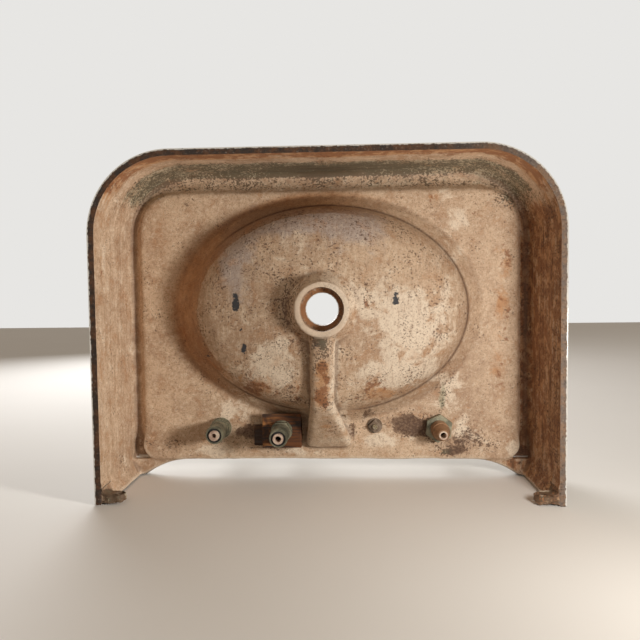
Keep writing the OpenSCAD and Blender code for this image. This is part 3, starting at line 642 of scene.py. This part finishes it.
def paintedSide(tree, place, x, y, z):
    edge = attribute(tree, "edge")
    bowl = attribute(tree, "bowl")
    streaky = attribute(tree, "streaky")
    broad = noise(tree, place, 7.0, 5.0, 0.6)
    middle = noise(tree, place, 38.0, 8.0, 0.68, 0.4)
    blotch = noise(tree, place, 24.0, 10.0, 0.75, 0.6)
    fine = noise(tree, place, 190.0, 6.0, 0.7)
    grain = noise(tree, place, 620.0, 4.0, 0.7)
    tone = calc(tree, "ADD", times(tree, broad, 0.45), times(tree, middle, 0.55))
    color = mixColor(tree, spread(tree, tone, 0.38, 0.60), paint["tan"], paint["cream"])
    # old coats that show in places
    mauve = stain(tree, blotch, attribute(tree, "mauve"), 0.68, 0.46, 0.24)
    color = mixColor(tree, times(tree, mauve, 0.9), color,
                     paint["mauve"])
    pale = stain(tree, middle, attribute(tree, "pale"), 0.64, 0.36, 0.14)
    color = mixColor(tree, times(tree, pale, 0.9), color,
                     paint["white"])
    greenMask = stain(tree, blotch, attribute(tree, "green"), 0.78, 0.55, 0.16)
    color = mixColor(tree, times(tree, greenMask, 0.8), color, paint["green"])
    # brush streaks along the walls and gutters
    brushPlace = addNode(tree, "ShaderNodeCombineXYZ", {0: times(tree, attribute(tree, "along"), 12.0),
                                                        1: times(tree, attribute(tree, "inward"), 170.0),
                                                        2: times(tree, z, 160.0)}).outputs[0]
    brush = noise(tree, brushPlace, 1.0, 5.0, 0.6)
    darkBrush = times(tree, streaky, spread(tree, brush, 0.46, 0.68, 0.0, 0.45))
    color = mixColor(tree, darkBrush, color, (0.36, 0.225, 0.135))
    paleBrush = times(tree, streaky, spread(tree, brush, 0.46, 0.30, 0.0, 0.25))
    color = mixColor(tree, paleBrush, color, paint["white"])
    # runs down the bowl
    runs = noise(tree, stretched(tree, place, (210, 30, 60)), 1.0, 5.0, 0.65)
    runReach = calc(tree, "ADD", times(tree, bowl, 0.75), 0.25)
    runMask = times(tree, spread(tree, runs, 0.50, 0.70, 0.0, 0.50), runReach)
    color = mixColor(tree, runMask, color, (0.36, 0.22, 0.14))
    paleRuns = times(tree, bowl, spread(tree, runs, 0.44, 0.30, 0.0, 0.55))
    color = mixColor(tree, paleRuns, color, paint["white"])
    # worn and dirty grain
    color = mixColor(tree, spread(tree, middle, 0.50, 0.30, 0.0, 0.45), color, paint["orange"])
    color = mixColor(tree, spread(tree, fine, 0.50, 0.72, 0.0, 0.60), color, (0.82, 0.71, 0.57))
    color = mixColor(tree, spread(tree, fine, 0.50, 0.30, 0.0, 0.60), color, (0.30, 0.18, 0.105))
    color = mixColor(tree, spread(tree, grain, 0.55, 0.72, 0.0, 0.55), color, (0.86, 0.75, 0.62))
    color = mixColor(tree, spread(tree, grain, 0.47, 0.31, 0.0, 0.75), color, (0.20, 0.115, 0.065))
    # rust
    rustNoise = noise(tree, place, 60.0, 10.0, 0.75, 0.3)
    broadShift = times(tree, calc(tree, "SUBTRACT", broad, 0.5), 0.7)
    rustAmount = calc(tree, "ADD", attribute(tree, "rust"), broadShift)
    rustPatches = mixValue(tree, times(tree, streaky, 0.6), blotch, brush)
    lightRust = stain(tree, rustPatches, rustAmount, 0.64, 0.34, 0.14)
    color = mixColor(tree, times(tree, lightRust, 0.75), color, paint["orange"])
    deepRust = stain(tree, rustNoise, rustAmount, 0.68, 0.30, 0.08)
    color = mixColor(tree, times(tree, deepRust, 0.80), color, paint["rust"])
    # dark dirt
    dirtNoise = mixValue(tree, times(tree, streaky, 0.75), rustNoise, brush)
    brownMask = stain(tree, dirtNoise, attribute(tree, "brown"), 0.76, 0.52, 0.16)
    color = mixColor(tree, times(tree, brownMask, 0.82), color, paint["brown"])
    speckAmount = calc(tree, "ADD", 0.72, times(tree, attribute(tree, "green"), 1.1))
    speckAmount = calc(tree, "ADD", speckAmount, times(tree, attribute(tree, "brown"), 0.9))
    speckAmount = calc(tree, "ADD", speckAmount, times(tree, bowl, 0.25))
    specks = placeGroup(tree, speckGroup, {"Vector": place, "Scale": 340.0, "Amount": speckAmount})
    speckColor = mixColor(tree, attribute(tree, "green"), (0.10, 0.05, 0.028), paint["greenSpeck"])
    color = mixColor(tree, times(tree, specks["Mask"], 0.85), color, speckColor)
    # darker where the surface bends inward, paler where it bends outward
    color = mixColor(tree, spread(tree, edge, 0.47, 0.36, 0.0, 0.60), color, (0.15, 0.08, 0.045))
    color = mixColor(tree, spread(tree, edge, 0.56, 0.70, 0.0, 0.45), color, (0.80, 0.70, 0.56))
    # painted shade along the bowl's crease
    creaseShadeMask = times(tree, attribute(tree, "crease"), spread(tree, fine, 0.30, 0.50, 0.4, 0.95))
    color = mixColor(tree, creaseShadeMask, color, (0.13, 0.07, 0.04))
    # painted shadow of the bowl, multiplied browner
    shaded = times(tree, attribute(tree, "shade"), spread(tree, blotch, 0.30, 0.60, 0.75, 1.0))
    color = mixColor(tree, shaded, color, shade["color"], "MULTIPLY")
    # chips down to the iron
    chips = stain(tree, fine, attribute(tree, "bare"), 1.0, 0.66, 0.03)
    color = mixColor(tree, chips, color, paint["chip"])
    # the boss's face is wiped nearly white
    bossWhite = times(tree, attribute(tree, "boss"), spread(tree, middle, 0.30, 0.60, 0.9, 0.35))
    color = mixColor(tree, bossWhite, color, (0.80, 0.64, 0.50))
    relief = calc(tree, "ADD", times(tree, specks["Height"], 0.7), times(tree, middle, 1.2))
    relief = calc(tree, "SUBTRACT", relief, times(tree, deepRust, 0.25))
    relief = calc(tree, "SUBTRACT", relief, times(tree, chips, 0.5))
    relief = calc(tree, "ADD", relief, calc(tree, "ADD", times(tree, fine, 0.9), times(tree, grain, 0.35)))
    relief = calc(tree, "ADD", relief, times(tree, streaky, times(tree, brush, 0.8)))
    return color, relief


# White porcelain enamel with stains and chipped edges
def enamelledSide(tree, place):
    edge = attribute(tree, "edge")
    broad = noise(tree, place, 7.0, 5.0, 0.6)
    middle = noise(tree, place, 38.0, 8.0, 0.68, 0.4)
    color = mixColor(tree, spread(tree, broad, 0.35, 0.65), (0.72, 0.71, 0.67), (0.82, 0.82, 0.79))
    drips = noise(tree, stretched(tree, place, (30, 30, 9)), 1.0, 8.0, 0.7)
    color = mixColor(tree, spread(tree, drips, 0.55, 0.78, 0.0, 0.45), color, (0.55, 0.47, 0.35))
    chipLevel = calc(tree, "SUBTRACT", 1.10, times(tree, edge, 0.58))
    chipFull = calc(tree, "ADD", chipLevel, 0.02)
    chips = addNode(tree, "ShaderNodeMapRange", {0: middle, 1: chipLevel, 2: chipFull})
    color = mixColor(tree, chips.outputs[0], color, (0.11, 0.07, 0.05))
    relief = calc(tree, "SUBTRACT", times(tree, broad, 0.5), chips.outputs[0])
    return color, relief, chips.outputs[0]


# Bare iron on the rim and in the drain's mouth
def ironColor(tree, place, x):
    middle = noise(tree, place, 45.0, 8.0, 0.7)
    fine = noise(tree, place, 330.0, 6.0, 0.7)
    color = mixColor(tree, spread(tree, middle, 0.42, 0.62), (0.032, 0.019, 0.012), (0.12, 0.052, 0.022))
    # greyer and paler towards the right, with more pale flecks: partly grey iron, partly painted light where
    # the lamp falls on the rim
    grey = mixColor(tree, spread(tree, middle, 0.40, 0.60), (0.20, 0.155, 0.13), (0.30, 0.19, 0.12))
    color = mixColor(tree, spread(tree, x, 0.12, 0.29, 0.0, 0.85), color, grey)
    flecks = times(tree, spread(tree, fine, 0.55, 0.70), spread(tree, x, -0.30, 0.28, 0.35, 0.65))
    color = mixColor(tree, flecks, color, (0.42, 0.36, 0.31))
    return mixColor(tree, spread(tree, fine, 0.46, 0.34, 0.0, 0.8), color, (0.02, 0.014, 0.01))


def castingFinish():
    material, tree, shader = startMaterial("castingFinish")
    place = objectPlace(tree)
    x, y, z = addNode(tree, "ShaderNodeSeparateXYZ", {0: place}).outputs
    fine = noise(tree, place, 190.0, 6.0, 0.7)
    middle = noise(tree, place, 38.0, 8.0, 0.68, 0.4)
    painted, paintedRelief = paintedSide(tree, place, x, y, z)
    enamel, enamelRelief, chipMask = enamelledSide(tree, place)
    iron = ironColor(tree, place, x)
    inward = attribute(tree, "inward")
    ragged = calc(tree, "ADD", inward, spread(tree, fine, 0.3, 0.7, -0.0009, 0.0009))
    rimFace = times(tree, spread(tree, z, 0.0028, 0.0014), spread(tree, ragged, 0.0098, 0.0088))
    color = mixColor(tree, rimFace, painted, iron)
    boreColor = mixColor(tree, middle, (0.16, 0.065, 0.025), (0.42, 0.20, 0.085))
    boreColor = mixColor(tree, spread(tree, fine, 0.48, 0.34, 0.0, 0.8), boreColor, (0.04, 0.025, 0.015))
    color = mixColor(tree, attribute(tree, "bore"), color, boreColor)
    outside = calc(tree, "SUBTRACT", 1.0, attribute(tree, "under"))
    foldOver = times(tree, spread(tree, ragged, 0.0019, 0.0013), spread(tree, fine, 0.30, 0.42))
    outerSkin = times(tree, outside, calc(tree, "SUBTRACT", 1.0, rimFace))
    enamelMask = calc(tree, "MAXIMUM", outerSkin, foldOver, True)
    tree.links.new(mixColor(tree, enamelMask, color, enamel), shader.inputs["Base Color"])
    dull = spread(tree, fine, 0.3, 0.7, 0.55, 0.82)
    glossy = spread(tree, middle, 0.3, 0.7, 0.10, 0.24)
    glossy = calc(tree, "ADD", glossy, times(tree, chipMask, 0.5))
    tree.links.new(mixValue(tree, enamelMask, dull, glossy), shader.inputs["Roughness"])
    height = mixValue(tree, enamelMask, paintedRelief, enamelRelief)
    bump = addNode(tree, "ShaderNodeBump", {"Strength": 0.6, "Distance": 0.0009, "Height": height})
    tree.links.new(bump.outputs[0], shader.inputs["Normal"])
    return material


# The shim: a rough sawn block, with its grain in relief
shim = {
    "voxel": 0.0011,
    "softness": 4,
    "grainStretch": (0.055, 0.0035, 0.0035),
    "grainDepth": 0.0012,
    "tongueEnd": -0.099,
}


def makeShim():
    piece = copyOfNode("shim_block", "shim_wood")
    finishWith(piece, "REMESH", mode="VOXEL", voxel_size=shim["voxel"], adaptivity=0)
    finishWith(piece, "SMOOTH", factor=0.5, iterations=shim["softness"])
    grainSpace = bpy.data.objects.new("grainSpace", None)
    bpy.context.scene.collection.objects.link(grainSpace)
    grainSpace.scale = shim["grainStretch"]
    bpy.context.view_layer.update()
    finishWith(piece, "DISPLACE", texture=lumps("woodGrain", 1.0), texture_coords="OBJECT",
               texture_coords_object=grainSpace, strength=shim["grainDepth"], mid_level=1.0)
    bpy.data.objects.remove(grainSpace)
    bpy.ops.object.shade_smooth_by_angle(angle=math.radians(50))
    useOn(piece, woodFinish())
    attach(piece, "root")
    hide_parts("shim_block")
    print("shim made:", len(piece.data.polygons), "faces")


def woodFinish():
    material, tree, shader = startMaterial("shimWood")
    place = objectPlace(tree)
    x, y, z = addNode(tree, "ShaderNodeSeparateXYZ", {0: place}).outputs
    grain = noise(tree, stretched(tree, place, (16, 260, 260)), 1.0, 8.0, 0.62, 1.0)
    broad = noise(tree, place, 40.0, 4.0, 0.6)
    color = mixColor(tree, spread(tree, grain, 0.38, 0.62), (0.022, 0.008, 0.003), (0.15, 0.050, 0.013))
    leftSide = spread(tree, x, -0.062, -0.094)
    light = times(tree, leftSide, spread(tree, grain, 0.44, 0.60), spread(tree, broad, 0.42, 0.58))
    color = mixColor(tree, times(tree, light, 0.7), color, (0.46, 0.21, 0.07))
    color = mixColor(tree, spread(tree, broad, 0.54, 0.38, 0.0, 0.85), color, (0.02, 0.010, 0.006))
    color = mixColor(tree, spread(tree, x, shim["tongueEnd"] + 0.004, shim["tongueEnd"], 0.0, 0.85), color,
                     (0.035, 0.015, 0.007))
    tree.links.new(color, shader.inputs["Base Color"])
    tree.links.new(spread(tree, grain, 0.3, 0.7, 0.55, 0.85), shader.inputs["Roughness"])
    bump = addNode(tree, "ShaderNodeBump", {"Strength": 0.6, "Distance": 0.0006, "Height": grain})
    tree.links.new(bump.outputs[0], shader.inputs["Normal"])
    return material


# Worn metals
def metalFinish(name, color, worn, roughLow, roughHigh, metallic, grime=(0.05, 0.045, 0.03), grimeAmount=0.5):
    material, tree, shader = startMaterial(name)
    place = objectPlace(tree)
    broad = noise(tree, place, 60.0, 6.0, 0.65)
    fine = noise(tree, place, 600.0, 5.0, 0.65)
    base = mixColor(tree, spread(tree, broad, 0.42, 0.66), color, worn)
    specks = placeGroup(tree, speckGroup, {"Vector": place, "Scale": 900.0, "Amount": 0.7})
    base = mixColor(tree, times(tree, specks["Mask"], grimeAmount), base, grime)
    base = mixColor(tree, spread(tree, broad, 0.56, 0.36, 0.0, grimeAmount), base, grime)
    tree.links.new(base, shader.inputs["Base Color"])
    tree.links.new(spread(tree, fine, 0.3, 0.7, roughLow, roughHigh), shader.inputs["Roughness"])
    shader.inputs["Metallic"].default_value = metallic
    bump = addNode(tree, "ShaderNodeBump", {"Strength": 0.35, "Distance": 0.0003,
                                            "Height": calc(tree, "ADD", fine, specks["Height"])})
    tree.links.new(bump.outputs[0], shader.inputs["Normal"])
    return material


def plainFinish(name, low, high, roughLow, roughHigh, scale=300.0, depth=0.0002):
    material, tree, shader = startMaterial(name)
    place = objectPlace(tree)
    grain = noise(tree, place, scale, 5.0, 0.6)
    tree.links.new(mixColor(tree, grain, low, high), shader.inputs["Base Color"])
    tree.links.new(spread(tree, grain, 0.3, 0.7, roughLow, roughHigh), shader.inputs["Roughness"])
    bump = addNode(tree, "ShaderNodeBump", {"Strength": 0.4, "Distance": depth, "Height": grain})
    tree.links.new(bump.outputs[0], shader.inputs["Normal"])
    return material


def dressNodes():
    finishes = {
        "plated_brass": metalFinish("platedBrass", (0.62, 0.58, 0.50), (0.58, 0.47, 0.28), 0.18, 0.36, 1.0,
                                    (0.12, 0.09, 0.05), 0.35),
        "tarnished_brass": metalFinish("tarnishedBrass", (0.26, 0.25, 0.18), (0.36, 0.33, 0.23),
                                       0.38, 0.6, 0.75),
        "tail_tube": metalFinish("tailTube", (0.66, 0.46, 0.36), (0.74, 0.62, 0.50), 0.4, 0.6, 0.2),
        "rusty_steel": metalFinish("rustySteel", (0.22, 0.15, 0.10), (0.34, 0.27, 0.21), 0.5, 0.75, 0.4),
        "porcelain": plainFinish("porcelain", (0.83, 0.82, 0.78), (0.88, 0.87, 0.84),
                                 0.08, 0.16, 60.0, 0.00005),
        "rubber": plainFinish("blackRubber", (0.015, 0.015, 0.015), (0.03, 0.028, 0.026), 0.6, 0.8),
        "packing": plainFinish("hempPacking", (0.30, 0.24, 0.16), (0.50, 0.42, 0.30), 0.7, 0.9, 700.0),
    }
    rustyBrass = metalFinish("rustyBrass", (0.42, 0.24, 0.13), (0.30, 0.17, 0.09), 0.45, 0.7, 0.4)
    for entry in frame["record"]["subparts"]:
        name, slot = entry["node"], entry["material_slot"]
        if name not in ("sink_casting", "shim_block"):
            useOn(nodes[name], rustyBrass if name == "cold_coupling_nut" else finishes[slot])


# Light: one near lamp at the lower right, as the shadows in the photograph show, and a weak warm sky
light = {
    "place": (0.347, 0.04, -0.289),
    "radius": 0.05,
    "steady": 22.0,
    "near": 3.5,
    "color": (1.0, 0.95, 0.88),
}


def makeKeyLamp():
    data = bpy.data.lights.new("keyLamp", "POINT")
    data.shadow_soft_size = light["radius"]
    data.energy = 1.0
    data.color = light["color"]
    data.use_nodes = True
    tree = data.node_tree
    steady = addNode(tree, "ShaderNodeLightFalloff", {"Strength": light["steady"]}).outputs["Constant"]
    near = addNode(tree, "ShaderNodeLightFalloff", {"Strength": light["near"]}).outputs["Linear"]
    tree.links.new(calc(tree, "ADD", steady, near), tree.nodes["Emission"].inputs["Strength"])
    lamp = bpy.data.objects.new("keyLamp", data)
    bpy.context.scene.collection.objects.link(lamp)
    lamp.location = light["place"]


def addLamp(name, place, aim, size, watts, color=(1, 1, 1)):
    data = bpy.data.lights.new(name, "AREA")
    data.shape = "SQUARE"
    data.size = size
    data.energy = watts
    data.color = color
    lamp = bpy.data.objects.new(name, data)
    bpy.context.scene.collection.objects.link(lamp)
    lamp.location = place
    lamp.rotation_mode = "QUATERNION"
    lamp.rotation_quaternion = (Vector(aim) - Vector(place)).to_track_quat("-Z", "Y")


def makeLight():
    makeKeyLamp()
    addLamp("upperLamp", (-0.7, -0.9, 1.5), (0, 0, 0.15), 1.2, 26.0)
    world = bpy.data.worlds.new("softSky")
    bpy.context.scene.world = world
    world.use_nodes = True
    tree = world.node_tree
    background = tree.nodes["Background"]
    paths = addNode(tree, "ShaderNodeLightPath")
    seen = calc(tree, "MAXIMUM", paths.outputs["Is Camera Ray"], paths.outputs["Is Glossy Ray"])
    tree.links.new(mixColor(tree, seen, (0.30, 0.24, 0.18), (0.80, 0.79, 0.77)), background.inputs["Color"])
    background.inputs["Strength"].default_value = 1.0


# The floor is the plane that the basin's wall edge stands on; it is clear from behind
def makeFloor():
    bpy.ops.object.select_all(action="DESELECT")
    place = (0, cadHigh.y + 0.0006, 0)
    bpy.ops.mesh.primitive_plane_add(size=8, location=place, rotation=(math.pi / 2, 0, 0))
    floor = bpy.context.object
    floor.name = "floor"
    material, tree, shader = startMaterial("paleFloor")
    grain = noise(tree, objectPlace(tree), 3.0, 4.0)
    seenColor = mixColor(tree, grain, (0.76, 0.75, 0.73), (0.80, 0.79, 0.77))
    seen = addNode(tree, "ShaderNodeLightPath").outputs["Is Camera Ray"]
    tree.links.new(mixColor(tree, seen, (0.34, 0.31, 0.28), seenColor), shader.inputs["Base Color"])
    shader.inputs["Roughness"].default_value = 0.8
    clear = addNode(tree, "ShaderNodeBsdfTransparent")
    facing = addNode(tree, "ShaderNodeNewGeometry").outputs["Backfacing"]
    mix = addNode(tree, "ShaderNodeMixShader", {0: facing, 1: shader.outputs[0], 2: clear.outputs[0]})
    tree.links.new(mix.outputs[0], tree.nodes["Material Output"].inputs["Surface"])
    useOn(floor, material)


makeCamera()
speckGroup = makeSpeckGroup()
stainGroup = makeStainGroup()
makeCasting()
makeShim()
dressNodes()
print("pieces dressed")
makeLight()
makeFloor()
bpy.context.scene.view_settings.view_transform = "Standard"
